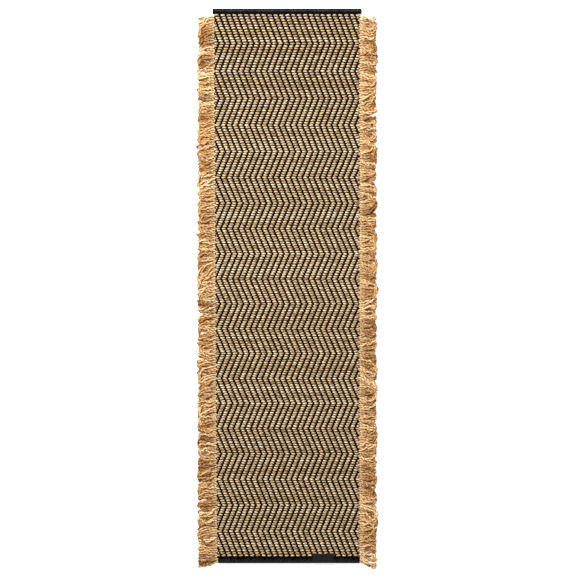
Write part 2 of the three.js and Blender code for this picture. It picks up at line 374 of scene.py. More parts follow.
# %% Fringe loops
LOOP_WIDE, LOOP_HIGH = 4.7 * MM, 4.1 * MM
LOOP_PITCH = 34 * MM
LEGS_APART = {"under": 4.7 * MM, "over": 5.4 * MM}  # from the spine to each leg
HALF_STATIONS = {"under": 21, "over": 29}  # from the root to the tip
FREEDOM = {"under": 0.25, "over": 1.0}  # how much the loops sway and curl
WINDINGS = {"under": [0, 0, 0, 0], "over": [0, 0.5, 0.5, 1]}  # turns of the legs round each other
TURN_SHARPNESS = 0.075
OUT_OF_EDGE = 1.5 * MM  # from the cloth's edge to a loop's root
LONGER, UNEVEN, TUFTED = 2.0 * MM, 2.6 * MM, 2.0 * MM  # past the rim: all, each alone, and in tufts
FRINGE_LEAN, SLOW_LEAN, UNEVEN_LEAN = -0.12, 0.10, 0.09  # as a heading: all, in waves, and each alone
OWN_SWAY, SHARED_SWAY = 0.32, 0.20  # of a heading: on its own, and with its neighbours
SMALL_CURL, FULL_CURL = 0.5, (1.2, 2.6)  # radians at the tip: of every loop, and of two in five more
HEAD_ZONE = 50 * MM  # up to this far from the head binding the loops stand straighter
FOOT_ZONE, FOOT_FADE = 40 * MM, 60 * MM  # where the calmer loops at the foot begin, and how slowly
CALM_AT_FOOT, CALM_AT_HEAD = 0.95, 0.8  # how much of the curl is gone there
CURL_FROM = 0.45  # the reach at which a loop starts to curl
ALONG_BINDING = 0.1  # the steepest heading beside the head binding
FIRST_LOOP = 1  # the pick that the first loop under the head binding comes from
HIDDEN_PICKS = 2  # picks inside the foot binding whose loops come out
BED_LIFT = 2.4 * MM  # how much higher every other loop of the bed lies
OVER_LIFT = 5.6 * MM  # how much higher the top layer lies
CORNER_LEAN = {LEFT: -0.12, RIGHT: -0.32}  # how much more the last loops lean at the foot corners
KINK = 2.0 * MM  # how far an over-twisted leg bends to and fro
ROOT_SINK = 1.2 * MM  # how far below the cloth's middle a loop's root lies
ROOT_FLAT = 0.18  # how much wider a yarn still is where it leaves the cloth
LOOP_SPUN = 0.08  # how much thicker and thinner it is spun
REACH_UNIT = 70 * MM  # how far out a loop has its full colour


def there_and_back(half):
    """A row of stations from root to tip, followed by the same stations back to the root."""
    return np.concatenate([half, half[:, -2::-1]], axis=1)


def fringe_rings(side, layer, loop, lift):
    """One loop at each given pick. With q from -1 to 0, the reach is a rounded 1 - |q|. The spine is the
    sum of steps of that reach along (cos heading, sin heading), stretched to its span. The legs stand
    apart from it by q over the square root of q squared plus a small square, square to the heading."""
    rows, stations, freedom = len(loop), HALF_STATIONS[layer], FREEDOM[layer]
    lift = lift[:, None]
    q = -np.linspace(1, 0, stations)[None, :] ** 1.25  # closer together in the turn
    rounded = np.sqrt(q**2 + TURN_SHARPNESS**2)
    reach = 1 - (rounded - TURN_SHARPNESS) / (rounded[:, :1] - TURN_SHARPNESS)
    root_y = pick_y(loop)[:, None]
    tape_end = (foot_low if side == LEFT else foot_high)[0]
    edge = np.where(root_y < FOOT_LINE, tape_end, cloth_edge(side, root_y) + side * OUT_OF_EDGE)
    rim = abs(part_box("fringe_left")[0][0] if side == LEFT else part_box("fringe_right")[1][0])
    tufts = wander(root_y.T, (0.047, 0.12, 0.33), 1).T
    longer = dice.normal(LONGER, UNEVEN, rows)[:, None] + TUFTED * tufts
    span = rim - np.abs(edge) - LOOP_WIDE + longer
    out = span * reach

    at_foot = np.clip((FOOT_LINE + FOOT_ZONE - root_y) / FOOT_FADE, 0, 1)
    at_head = np.clip((root_y - HEAD_LINE + HEAD_ZONE) / HEAD_ZONE, 0, 1)
    slow = SLOW_LEAN * wander(root_y.T, (0.09, 0.31, 0.57), 1).T
    lean = (FRINGE_LEAN + slow + dice.normal(0, UNEVEN_LEAN, rows)[:, None]) * (1 - at_head)
    lean = lean + CORNER_LEAN[side] * at_foot
    curl = dice.normal(0, SMALL_CURL, rows)
    curl = curl + dice.choice([0, 0, 0, 1, -1], rows) * dice.uniform(*FULL_CURL, rows)
    calm = (1 - CALM_AT_FOOT * at_foot) * (1 - CALM_AT_HEAD * at_head)
    curl = freedom * curl[:, None] * calm * np.clip((reach - CURL_FROM) / (1 - CURL_FROM), 0, 1) ** 1.3
    own_sway = OWN_SWAY * freedom * wander(out, (0.048, 0.075, 0.13), rows)
    shared_sway = SHARED_SWAY * wander(out + 0.5 * root_y, (0.06, 0.11, 0.26), 1)
    heading = lean + (own_sway + shared_sway) * np.minimum(1, 4 * reach) + curl
    heading = np.minimum(heading, np.where(at_head > 0.2, ALONG_BINDING, np.inf))
    steps = np.diff(reach, axis=1)
    between = (heading[:, 1:] + heading[:, :-1]) / 2
    spine_x, spine_y = running_sum(np.cos(between) * steps), running_sum(np.sin(between) * steps)
    stretch = span / spine_x.max(axis=1, keepdims=True)

    off_root = np.minimum(1, 3 * reach)
    turns = 2 * np.pi * dice.choice(WINDINGS[layer], rows)[:, None] * reach**1.2
    hand = dice.choice([-1.0, 1.0], rows)[:, None]
    spread = LEGS_APART[layer] * (1 + 0.12 * wander(out, (0.07, 0.11), rows))
    apart = (pick_gap / 2 * (1 - off_root) + spread * off_root) * -q / rounded
    flip = np.concatenate([np.ones(stations), -np.ones(stations - 1)])[None, :]
    sideways = there_and_back(apart * np.cos(turns)) * flip
    heights = there_and_back(0.6 * hand * apart * np.sin(turns)) * flip
    heading, reach = there_and_back(heading), there_and_back(reach)
    x = edge + side * (there_and_back(spine_x * stretch) - sideways * np.sin(heading))
    y = root_y + there_and_back(spine_y * stretch) + sideways * np.cos(heading)
    off_root = there_and_back(off_root)
    rest = LOOP_HIGH + (0.9 + 0.9 * wander(there_and_back(out) + 0.3, (0.06, 0.13), rows)) * MM * off_root
    z = rest + lift * off_root + (MIDDLE - LOOP_HIGH - ROOT_SINK) * (1 - reach) ** 2 + heights
    path = np.stack([x, y, z], axis=-1)
    along = lengths_along(path)
    path[..., 1] += KINK * off_root * wander(along, (0.024, 0.034, 0.055), rows)
    spun = 1 + LOOP_SPUN * wander(along, (0.021, 0.05, 0.11), rows)
    path[..., 2] = np.maximum(z, LOOP_HIGH * spun * 1.02)
    twist = 2 * np.pi * along / LOOP_PITCH + dice.uniform(0, 2 * np.pi, rows)[:, None]
    flattened = 1 + ROOT_FLAT * (1 - off_root)
    return carry(path, LOOP_WIDE * spun * flattened, LOOP_HIGH * spun, twist)


fringes = {"fringe_left": [], "fringe_right": []}
fringe_surfaces = {"fringe_left": [], "fringe_right": []}
for name, side in (("fringe_left", LEFT), ("fringe_right", RIGHT)):
    bed = np.arange(FIRST_LOOP, PICKS + HIDDEN_PICKS)
    top = np.arange(FIRST_LOOP, PICKS + HIDDEN_PICKS, 2)
    for layer, loop, lift, shaded_tint_share in (("under", bed, BED_LIFT * (bed % 2), 0.7),
                                     ("over", top, np.full(len(top), OVER_LIFT), 1.0)):
        rings = fringe_rings(side, layer, loop, lift)
        tint = dice.beta(1.3, 1.3, len(rings)) * shaded_tint_share  # painted shade: the bed lies under the top layer, so its tints are scaled darker
        piece = make_cords(f"{name}_{layer}_loops", rings, tint)
        outward = np.abs(rings[..., 0] - rings[:, :1, :1, 0])
        add_fact(piece, "reach", np.clip(outward / REACH_UNIT, 0, 1))
        fringes[name].append(piece)
        fringe_surfaces[name].append(rings)

# %% [markdown]
# ## Thin sheets with two faces
#
# The tapes, the label and the fluff inside the cloth are sheets. A flat plane with a Solidify
# modifier would give them thickness, but here both faces are wanted exactly where the CAD clearances
# leave room, so each sheet is two grids of points, its outer face and its inner face, closed with a
# strip along each of the four rims.

# %% Closed sheets from two grids
def closed_sheet(name, outer, inner):
    """A closed body between two grids (row, column, xyz). Rows crossed with columns point outwards."""
    rows, columns, _ = outer.shape
    above = np.arange(rows * columns).reshape(rows, columns)
    below = above + rows * columns

    def quads(grid):
        return np.stack([grid[:-1, :-1], grid[1:, :-1], grid[1:, 1:], grid[:-1, 1:]], axis=-1).reshape(-1, 4)

    def rim(top, bottom):
        return np.stack([top[:-1], bottom[:-1], bottom[1:], top[1:]], axis=-1)

    rims = [
        rim(above[:, 0], below[:, 0]),
        rim(above[:, -1], below[:, -1])[:, ::-1],
        rim(above[0], below[0])[:, ::-1],
        rim(above[-1], below[-1]),
    ]
    faces = [quads(above), quads(below)[:, ::-1], *rims]
    points = np.concatenate([outer.reshape(-1, 3), inner.reshape(-1, 3)])
    piece = finish_mesh(name, points, faces)
    along_rows = np.linalg.norm(np.diff(outer, axis=0), axis=2).mean(axis=1)
    along_columns = np.linalg.norm(np.diff(outer, axis=1), axis=2).mean(axis=0)
    u = running_sum(along_rows)[:, None].repeat(columns, axis=1)
    v = running_sum(along_columns)[None, :].repeat(rows, axis=0)
    metres = np.tile(np.stack([u, v], axis=-1).reshape(-1, 2), (2, 1))
    # For painting, each face of the sheet has nearly half of the map, and each rim has a thin strip.
    half = np.stack([0.47 * u / u.max(), v / v.max()], axis=-1).reshape(-1, 2)
    laid = np.concatenate([half, half + [0.49, 0]])
    strips = []
    for number, faces_of_rim in enumerate(rims):
        share = np.arange(len(faces_of_rim))[:, None] / len(faces_of_rim)
        up = share + np.array([0, 0, 1, 1])[None, :] / len(faces_of_rim)
        out = 0.965 + 0.009 * number + np.array([0, 0.006, 0.006, 0])[None, :].repeat(len(up), axis=0)
        strips.append(np.stack([out, up], axis=-1).reshape(-1, 2))
    both = laid[np.concatenate([f.ravel() for f in faces[:2]])]
    own_places = metres[np.concatenate([f.ravel() for f in faces])]
    add_maps(piece, "cloth", own_places, np.concatenate([both, *strips]))
    print(f"{name}: {2 * sum(len(f) for f in faces):,} triangles")
    return piece


# %% [markdown]
# ## The dark core between the yarns
#
# A thin dark sheet halfway up the cloth fills the pinholes where four yarns meet, so no floor shows
# through. It stands partly for the short fibres that jute sheds, and its near-black colour is painted
# shade for the shaded depth of the cloth. It has the cloth's cut shape.

# %% Cloth core
CORE_THICK = 0.5 * MM
CORE_SWAY = 0.25 * MM
core_share = np.linspace(0, 1, 161)
core_y = FOOT_LINE + (HEAD_LINE - FOOT_LINE) * core_share
across = np.linspace(0, 1, 43)[:, None]
core_x = cloth_edge(LEFT, core_y)[None, :] * (1 - across) + cloth_edge(RIGHT, core_y)[None, :] * across
core_z = MIDDLE + CORE_SWAY * wander(core_y[None, :] + 0.4 * across, (0.21, 0.34, 0.55), 1)
core_top = np.stack([core_x, np.broadcast_to(core_y, core_x.shape), core_z + CORE_THICK / 2], axis=-1)
core_under = core_top - np.array([0, 0, CORE_THICK])
core = closed_sheet("cloth_core", core_top, core_under)

# %% [markdown]
# ## The end bindings
#
# A cotton tape is folded over each pressed end and sewn through everything with one row of stitches
# near its inner edge. On the grid one parameter goes round the fold, from the inner edge underneath
# to the inner edge on top, and the other goes across the rug. The outer face is pushed about by the
# sewing: it swells between the seam and the fold, dips along the seam, dips more at each stitch hole,
# and its corners are pulled in and pinched shut.

# %% Binding tapes
TAPE_THICK = 1.0 * MM
SEAM_IN = 4 * MM  # from the tape's inner edge to its row of stitches
SEAM_STITCH = 8 * MM
SEAM_GROOVE = 1.4 * MM  # half of the dip's width along the seam
SEAM_DIP, HOLE_DIP = 0.25, 0.35  # millimetres along the whole seam, and more at each hole
CORNER = 7 * MM  # how far from its corner the fold starts to be pulled in
CORNER_IN, CORNER_PINCH = 3.2 * MM, 0.72  # how far it is pulled in, and how nearly shut
RIPPLE, EDGE_SWAY = 0.22 * MM, 0.5 * MM  # of the tape's face, and of its inner edge
HELD_DOWN = 0.3  # how much of its swelling the underside keeps on the floor
TAPE_COLUMNS = 361


def corner_pull(from_corner):
    """From 0 to 1 as a quarter circle drops away over the last few millimetres."""
    near = np.clip(1 - from_corner / CORNER, 0, 1)
    return 1 - np.sqrt(1 - near**2)


def tape_face(end, box_low, box_high, inset, swell, sways):
    """One face of a folded tape, inset from the outer face: a flat run, a half circle and a flat run."""
    depth = box_high[1] - box_low[1]
    radius = (box_high[2] - box_low[2]) / 2
    mid_z = (box_high[2] + box_low[2]) / 2
    under, over = np.linspace(0, 1, 9), np.linspace(0, 1, 25)
    arc = np.linspace(-np.pi / 2, np.pi / 2, 11)[1:-1]
    inward = np.concatenate([depth + (radius - depth) * under, radius - (radius - inset) * np.cos(arc),
                             radius + (depth - radius) * over])[:, None]
    level = np.concatenate([-np.ones_like(under), np.sin(arc), np.ones_like(over)])[:, None]
    x = np.linspace(box_low[0], box_high[0], TAPE_COLUMNS)[None, :]
    pull = corner_pull(np.minimum(x - box_low[0], box_high[0] - x))
    seam = depth - SEAM_IN
    run = np.clip(inward / seam, 0, 1)
    puff = swell * np.sin(np.pi * run**0.8)
    groove = np.exp(-(((inward - seam) / SEAM_GROOVE) ** 2))
    hole = 0.5 + 0.5 * np.cos(2 * np.pi * (x - box_low[0]) / SEAM_STITCH)
    dip = groove * (SEAM_DIP + HOLE_DIP * hole) * MM
    ripple = RIPPLE * sways[0] * run
    free = np.where(level < 0, HELD_DOWN, 1.0)
    z = mid_z + level * (radius - inset + free * (puff + ripple) - dip) * (1 - CORNER_PINCH * pull)
    to_fold = 1 - inward / depth
    y = HALF_LENGTH - inward - CORNER_IN * pull * to_fold + EDGE_SWAY * sways[1] * (1 - to_fold) ** 3
    face = np.stack([np.broadcast_to(x, z.shape), end * y, z], axis=-1)
    return face if end == HEAD else face[:, ::-1]


def tape(name, end, box_low, box_high, swell):
    """A binding between its outer face and the same face one tape's thickness further in."""
    x = np.linspace(box_low[0], box_high[0], TAPE_COLUMNS)[None, :]
    sways = wander(x, (0.021, 0.047, 0.13), 1), wander(x, (0.037, 0.11, 0.29), 1)
    outer = tape_face(end, box_low, box_high, 0.0, swell, sways)
    inner = tape_face(end, box_low, box_high, TAPE_THICK, swell, sways)
    piece = closed_sheet(name, outer, inner)
    height = np.concatenate([outer, inner])[..., 2].ravel()
    add_fact(piece, "crest", np.clip((height / height.max() - 0.9) / 0.1, 0, 1))  # painted highlight: 1 on the fold's crest, where the light falls most
    return piece


bindings = {
    "head_binding": tape("head_tape", HEAD, head_low, head_high, 1.5 * MM),
    "foot_binding": tape("foot_tape", FOOT, foot_low, foot_high, 0.8 * MM),
}

# %% [markdown]
# ## Sewing threads
#
# A lockstitch shows as short straight stitches with a pinch between them. The height of the thread
# is 1 minus a high power of a cosine, which stays near 1 and drops sharply once a stitch. The rows
# lie where their CAD solids are. The hidden zigzag rows inside the tapes are the same thread with a
# triangle wave for their sway.

# %% Thread rows
THREAD_HALF = 0.5 * MM
PLY_TURNS = 3.5  # turns of the thread's plies in one stitch
LABEL_STITCH, ZIGZAG_STITCH = 4 * MM, 5 * MM


def middle_line(node, stitch, stations, axis=0):
    """A thread's box, the stitches counted along it, and a path down its middle along x or y."""
    low, high = np.array(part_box(node))
    count = round((high[axis] - low[axis]) / stitch)
    t = np.linspace(0, count, count * stations + 1)[None, :]
    path = np.ones((1, t.shape[1], 1)) * (low + high) / 2
    path[..., axis] = low[axis] + (high[axis] - low[axis]) * t / count
    return low, high, t, path


def stitch_row(name, node, stitch, up, axis=0):
    """A row of stitches: it drops by a high power of the cosine of half a turn a stitch, so only where
    it enters the cloth, and it sways by the sine of a whole turn a stitch."""
    low, high, t, path = middle_line(node, stitch, 10, axis)
    half = min((high[2] - low[2]) / 2, THREAD_HALF)
    dip = np.abs(np.cos(np.pi * t)) ** 14
    path[..., 1 - axis] += 0.35 * half * np.sin(2 * np.pi * t) + 0.2 * half * wander(t, (3.7, 9.1), 1)
    path[..., 2] -= up * half * (0.15 + 1.1 * dip)
    size = half * np.ones_like(t)
    return make_cords(name, carry(path, size, size, 2 * np.pi * t * PLY_TURNS), np.array([0.5]))


def zigzag_row(name, node):
    """A flat zigzag: a triangle wave in y, with a step for every stitch."""
    low, high, t, path = middle_line(node, ZIGZAG_STITCH, 4)
    half = (high[2] - low[2]) / 2
    path[..., 1] += ((high[1] - low[1]) / 2 - half) * (2 * np.abs(2 * (t / 2 % 1) - 1) - 1)
    size = half * np.ones_like(t)
    return make_cords(name, carry(path, size, size, 2 * np.pi * t, FINE), np.array([0.5]))


threads = {}
for end_name in ("head", "foot"):
    needle, bobbin = f"{end_name}_seam_needle_thread", f"{end_name}_seam_bobbin_thread"
    threads[needle] = stitch_row(f"{end_name}_needle_stitches", needle, SEAM_STITCH, 1)
    threads[bobbin] = stitch_row(f"{end_name}_bobbin_stitches", bobbin, SEAM_STITCH, -1)
    for thread in ("needle", "bobbin"):
        node = f"{end_name}_lock_{thread}_thread"
        threads[node] = zigzag_row(f"{end_name}_{thread}_zigzag", node)
for side_name in ("left", "right"):
    node = f"label_thread_{side_name}"
    threads[node] = stitch_row(f"label_stitches_{side_name}", node, LABEL_STITCH, 1, axis=1)

# %% [markdown]
# ## The label
#
# The label is a narrow satin ribbon, blank here, with both short ends turned under and sewn down. It
# is one strip carried round two small folds: from the end of the left flap, up and over, to the end
# of the right flap. The stitches press its ends down, so the middle stands a little proud.

# %% Label
LABEL_THICK = 0.4 * MM
label_low, label_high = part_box("label")
FLAP = 8 * MM
CROWN = 0.5 * MM  # how far its middle stands proud
LABEL_COLUMNS = 25


def label_face(inset):
    """One face of the folded ribbon, inset from its outer face."""
    radius = (label_high[2] - label_low[2]) / 2
    mid_z = (label_high[2] + label_low[2]) / 2
    left, right = label_low[0] + radius, label_high[0] - radius
    arc = np.linspace(0, np.pi, 9)[1:-1]
    flap = np.linspace(0, 1, 6)
    top = np.linspace(0, 1, 49)
    x = np.concatenate([left + FLAP * (1 - flap), left - (radius - inset) * np.sin(arc),
                        left + (right - left) * top, right + (radius - inset) * np.sin(arc),
                        right - FLAP * flap])
    down, up = -np.ones_like(flap), np.ones_like(top)
    level = np.concatenate([down, -np.cos(arc), up, np.cos(arc), down])[:, None]
    y = np.linspace(label_low[1], label_high[1], LABEL_COLUMNS)[None, :]
    across = (y - label_low[1]) / (label_high[1] - label_low[1])
    middle = np.clip((x - left) / (right - left), 0, 1)[:, None]
    crown = CROWN * np.sin(np.pi * middle) * (1 - 0.5 * (2 * across - 1) ** 2) * (level == 1)
    z = mid_z + level * (radius - inset) + crown
    return np.stack(np.broadcast_arrays(x[:, None], y, z), axis=-1)


label = closed_sheet("blank_label", label_face(0.0), label_face(LABEL_THICK))

# %% [markdown]
# ## Loose fibres
#
# Jute is never smooth: short stiff fibres stand out of every yarn. Hair particles could grow them,
# but they aren't a mesh that can be handed on. So each fibre is a thin three-cornered cord of its
# own, with few faces because there are thousands. It starts on a yarn's surface, leaves it at a
# slant, and bends over before it has risen far. The loose loops shed far more of them than the
# beaten cloth.

# %% Loose fibres
FIBRE_HALF = 0.11 * MM
FIBRE_RISE = 2.2 * MM  # no fibre stands higher than this above its root
# How many fibres each set of cords sheds, and the longest of them:
SHED = {"woven_field": (350, 8 * MM), "fringe_left": (650, 11 * MM), "fringe_right": (650, 11 * MM)}
TRIANGLE = np.ones(3)


def fibre_rings(surface, count, longest):
    """Fibres from random corners of a cord's rings. At t from 0 to 1, a fibre is at its root plus its
    length times (t * slant + t squared * bend). The slant is part outwards and part along the cord,
    and the rise is rounded off by a tanh."""
    cord, station, corner = (dice.integers(1, size - 1, count) for size in surface.shape[:3])
    root = surface[cord, station, corner]
    outward = root - surface[cord, station].mean(axis=1)
    ahead = surface[cord, station + 1, corner] - surface[cord, station - 1, corner]
    outward /= np.linalg.norm(outward, axis=1, keepdims=True)
    ahead /= np.linalg.norm(ahead, axis=1, keepdims=True)
    slant = 0.6 * outward + dice.uniform(-1, 1, (count, 1)) * ahead + dice.normal(0, 0.25, (count, 3))
    bend = dice.normal(0, 0.35, (count, 3)) - np.array([0, 0, 0.25])
    length = longest * dice.uniform(0.3, 1, (count, 1, 1))
    t = np.linspace(0, 1, 4)[None, :, None]
    path = root[:, None] + length * (t * slant[:, None] + t**2 * bend[:, None])
    rise = path[..., 2] - root[:, None, 2]
    rise = np.where(rise > 0, FIBRE_RISE * np.tanh(rise / FIBRE_RISE), rise)
    path[..., 2] = np.maximum(root[:, None, 2] + rise, 3 * FIBRE_HALF)
    thin = FIBRE_HALF * (1 - 0.5 * t[..., 0]) * np.ones((count, 1))
    return carry(path, thin, thin, np.zeros_like(thin), TRIANGLE)


fibres = {}
for node, surfaces in {"woven_field": weft_surfaces, **fringe_surfaces}.items():
    rings = np.concatenate([fibre_rings(surface, *SHED[node]) for surface in surfaces])
    fibres[node] = make_cords(f"{node}_loose_fibres", rings, dice.uniform(0.2, 1, len(rings)))
    add_fact(fibres[node], "reach", np.ones(rings[..., 0].size))

# %% [markdown]
# ## Shader groups for cord and cloth
#
# Three effects are shared. The fibre group reads the cord's own map, so streaks run along each ply
# and follow its twist, and it puts out streaks, long slow changes of colour and a height. The groove
# group marks the two valleys between the plies. The ribs group draws the fine twill of a woven tape
# from the cloth's own map. Groups put out only masks and heights; each material keeps its shader.

# %% Node helpers and groups
FAR_APART = 137.0  # how far along the noise two cords of the lowest and highest tint start


def new_group(name, inputs, outputs):
    """An empty shader group of floats, with the sockets of its inputs (name, value) and its outputs."""
    group = bpy.data.node_groups.new(name, "ShaderNodeTree")
    for label, value in inputs:
        socket = group.interface.new_socket(label, in_out="INPUT", socket_type="NodeSocketFloat")
        socket.default_value = value
    for label in outputs:
        group.interface.new_socket(label, in_out="OUTPUT", socket_type="NodeSocketFloat")
    into, out = group.nodes.new("NodeGroupInput"), group.nodes.new("NodeGroupOutput")
    return group, into.outputs[: len(inputs)], out.inputs


def feed(tree, socket, value):
    """Gives a socket what it takes: another socket, a colour or a number."""
    if isinstance(value, bpy.types.NodeSocket):
        tree.links.new(value, socket)
    else:
        socket.default_value = (*value, 1) if isinstance(value, tuple) else value


def sum_of(tree, operation, *values):
    """A Math node of numbers or sockets."""
    node = tree.nodes.new("ShaderNodeMath")
    node.operation = operation
    for socket, value in zip(node.inputs, values):
        feed(tree, socket, value)
    return node.outputs[0]


def vector_of(tree, *values):
    """A Combine XYZ node of three numbers or sockets."""
    node = tree.nodes.new("ShaderNodeCombineXYZ")
    for socket, value in zip(node.inputs, values):
        feed(tree, socket, value)
    return node.outputs[0]


def noise_of(tree, vector, scale, detail=2.0, roughness=0.5):
    """A Noise Texture's value at a vector."""
    node = tree.nodes.new("ShaderNodeTexNoise")
    node.inputs["Scale"].default_value = scale
    node.inputs["Detail"].default_value = detail
    node.inputs["Roughness"].default_value = roughness
    tree.links.new(vector, node.inputs["Vector"])
    return node.outputs["Fac"]


def ramp_of(tree, value, stops):
    """A Color Ramp through (place, colour) stops."""
    node = tree.nodes.new("ShaderNodeValToRGB")
    elements = node.color_ramp.elements
    elements[0].position, elements[0].color = stops[0][0], (*stops[0][1], 1)
    elements[1].position, elements[1].color = stops[-1][0], (*stops[-1][1], 1)
    for place, colour in stops[1:-1]:
        elements.new(place).color = (*colour, 1)
    tree.links.new(value, node.inputs["Fac"])
    return node.outputs["Color"]


def blend_of(tree, kind, share, first, second):
    """A colour Mix node of the given kind, from a share and two colours."""
    node = tree.nodes.new("ShaderNodeMix")
    node.data_type, node.blend_type = "RGBA", kind
    for socket, value in ((0, share), (6, first), (7, second)):
        feed(tree, node.inputs[socket], value)
    return node.outputs[2]


def fibre_group():
    """Streaks along a cord: noise on (distance / streak length, cos and sin of the turn * fibre count)."""
    group, (along, around, tint, streak_length, count, change), out = new_group(
        "cord fibres",
        [("Along", 0), ("Around", 0), ("Tint", 0), ("Streak Length", 0.012), ("Fibres", 6), ("Change", 0.03)],
        ["Streaks", "Slow", "Height"],
    )
    turn = sum_of(group, "MULTIPLY", around, 2 * np.pi)
    round_x = sum_of(group, "MULTIPLY", sum_of(group, "COSINE", turn), count)
    round_y = sum_of(group, "MULTIPLY", sum_of(group, "SINE", turn), count)
    own = sum_of(group, "MULTIPLY", tint, FAR_APART)
    run, slow_run = (sum_of(group, "ADD", sum_of(group, "DIVIDE", along, unit), own)
                     for unit in (streak_length, change))
    streaks = noise_of(group, vector_of(group, run, round_x, round_y), 1.0, 3.0, 0.6)
    slow = noise_of(group, vector_of(group, slow_run, 0.0, 0.0), 1.0, 2.0)
    fine_run = sum_of(group, "MULTIPLY", run, 1.7)
    fine_x = sum_of(group, "MULTIPLY", round_x, 2.3)
    fine_y = sum_of(group, "MULTIPLY", round_y, 2.3)
    fine = noise_of(group, vector_of(group, fine_run, fine_x, fine_y), 1.0, 2.0)
    height = sum_of(group, "MULTIPLY_ADD", streaks, 0.6, sum_of(group, "MULTIPLY", fine, 0.4))
    for socket, value in zip(out, (streaks, slow, height)):
        feed(group, socket, value)
    return group


def groove_group():
    """The valley between two plies: half of 1 minus the cosine of twice the turn, raised to a power."""
    group, (around, power), out = new_group("ply groove", [("Around", 0), ("Narrowness", 3)], ["Groove"])
    turn = sum_of(group, "MULTIPLY", around, 4 * np.pi)
    half = sum_of(group, "MULTIPLY_ADD", sum_of(group, "COSINE", turn), -0.5, 0.5)
    feed(group, out[0], sum_of(group, "POWER", half, power))
    return group


def ribs_group():
    """A herringbone tape: slanted ribs, as a sine of u plus or minus v, that change hand at each column."""
    group, (u, v, rib, column), out = new_group(
        "woven ribs", [("U", 0), ("V", 0), ("Rib", 0.0011), ("Column", 0.006)], ["Ribs", "Threads"]
    )
    slanted = sum_of(group, "ADD", sum_of(group, "PINGPONG", u, column), v)
    for socket, place, turns in zip(out, (slanted, v), (2 * np.pi, 4 * np.pi)):
        angle = sum_of(group, "DIVIDE", sum_of(group, "MULTIPLY", place, turns), rib)
        feed(group, socket, sum_of(group, "MULTIPLY_ADD", sum_of(group, "SINE", angle), 0.5, 0.5))
    return group


FIBRES, GROOVE, RIBS = fibre_group(), groove_group(), ribs_group()


def place_group(tree, group, **values):
    """The outputs of a group node fed with numbers or sockets; underscores stand for spaces."""
    node = tree.nodes.new("ShaderNodeGroup")
    node.node_tree = group
    for label, value in values.items():
        feed(tree, node.inputs[label.replace("_", " ")], value)
    return node.outputs


def start_material(name, rough, specular, sheen=0.0):
    """A material with a Principled shader whose even values sit on its own sockets."""
    material = bpy.data.materials.new(name)
    material.use_nodes = True
    shader = material.node_tree.nodes["Principled BSDF"]
    shader.inputs["Roughness"].default_value = rough
    shader.inputs["Sheen Weight"].default_value = sheen
    shader.inputs["Specular IOR Level"].default_value = specular
    return material, material.node_tree, shader


def own_map(tree, name):
    """The u and v of a named UV map."""
    node = tree.nodes.new("ShaderNodeUVMap")
    node.uv_map = name
    split = tree.nodes.new("ShaderNodeSeparateXYZ")
    tree.links.new(node.outputs[0], split.inputs[0])
    return split.outputs[0], split.outputs[1]


def fact_of(tree, name):
    """A number that was stored on each point."""
    node = tree.nodes.new("ShaderNodeAttribute")
    node.attribute_name = name
    return node.outputs["Fac"]


def cord_fibres(tree, streak_length, count, change=30 * MM):
    """A cord's tint and the turn round it, and the streaks, slow change and height of its fibres."""
    along, around = own_map(tree, "cord")
    tint = fact_of(tree, "tint")
    return tint, around, *place_group(tree, FIBRES, Along=along, Around=around, Tint=tint,
                                      Streak_Length=streak_length, Fibres=count, Change=change)


def cover(tree, shader, colour, rough, height, depth):
    """Gives the shader its colour, its roughness and a bumpy normal of a height times a depth."""
    bump = tree.nodes.new("ShaderNodeBump")
    bump.inputs["Distance"].default_value = depth
    tree.links.new(height, bump.inputs["Height"])
    for name, value in (("Base Color", colour), ("Roughness", rough), ("Normal", bump.outputs[0])):
        feed(tree, shader.inputs[name], value)


# %% [markdown]
# ## Jute
#
# Jute is dull, and its colour changes from skein to skein, along a yarn and from fibre to fibre. The
# colour is a ramp driven by all three. The woven yarn has been rubbed and looks bleached and pale,
# and the loose loops are more golden, but they are pale too where they leave the cloth. The groove
# between the plies is painted darker: painted shade, for the shade in the valley between the plies.

# %% Jute materials
GOLDEN = (1.0, 0.84, 0.60)  # what a less bleached skein keeps of each colour
GROOVE_SHADE_SHARE, ROOT_SHARE = 0.85, 0.6  # how fully the grooves take their painted shade, and the roots their own colour


def jute_material(name, stops, groove_shade_colour, weights, lengths, root_colour=None):
    """A ramp of colours by tint, slow change and streaks, with grooves darkened as painted shade, and raised
    fibres.
    """
    material, tree, shader = start_material(name, 0.9, 0.15, sheen=0.05)
    tint, around, streaks, slow, height = cord_fibres(tree, lengths[0], 5.0, lengths[1])
    groove = place_group(tree, GROOVE, Around=around, Narrowness=3.0)["Groove"]
    mix = 0.5 - sum(weights) / 2
    for value, weight in zip((tint, slow, streaks), weights):
        mix = sum_of(tree, "MULTIPLY_ADD", value, weight, mix)
    colour = ramp_of(tree, mix, stops)
    gold = sum_of(tree, "MULTIPLY", sum_of(tree, "SUBTRACT", 1.15, tint), slow)
    colour = blend_of(tree, "MULTIPLY", gold, colour, GOLDEN)
    if root_colour:
        near_root = sum_of(tree, "SUBTRACT", 1.0, fact_of(tree, "reach"))
        near_root = sum_of(tree, "MULTIPLY", sum_of(tree, "POWER", near_root, 3.0), ROOT_SHARE)
        colour = blend_of(tree, "MIX", near_root, colour, root_colour)
    # Painted shade: the valleys between the plies are darkened in the colour.
    groove_shade_mask = sum_of(tree, "MULTIPLY", groove, GROOVE_SHADE_SHARE)
    colour = blend_of(tree, "MULTIPLY", groove_shade_mask, colour, groove_shade_colour)
    rough = sum_of(tree, "MULTIPLY_ADD", streaks, -0.2, 0.98)
    cover(tree, shader, colour, rough, height, 0.9 * MM)
    return material


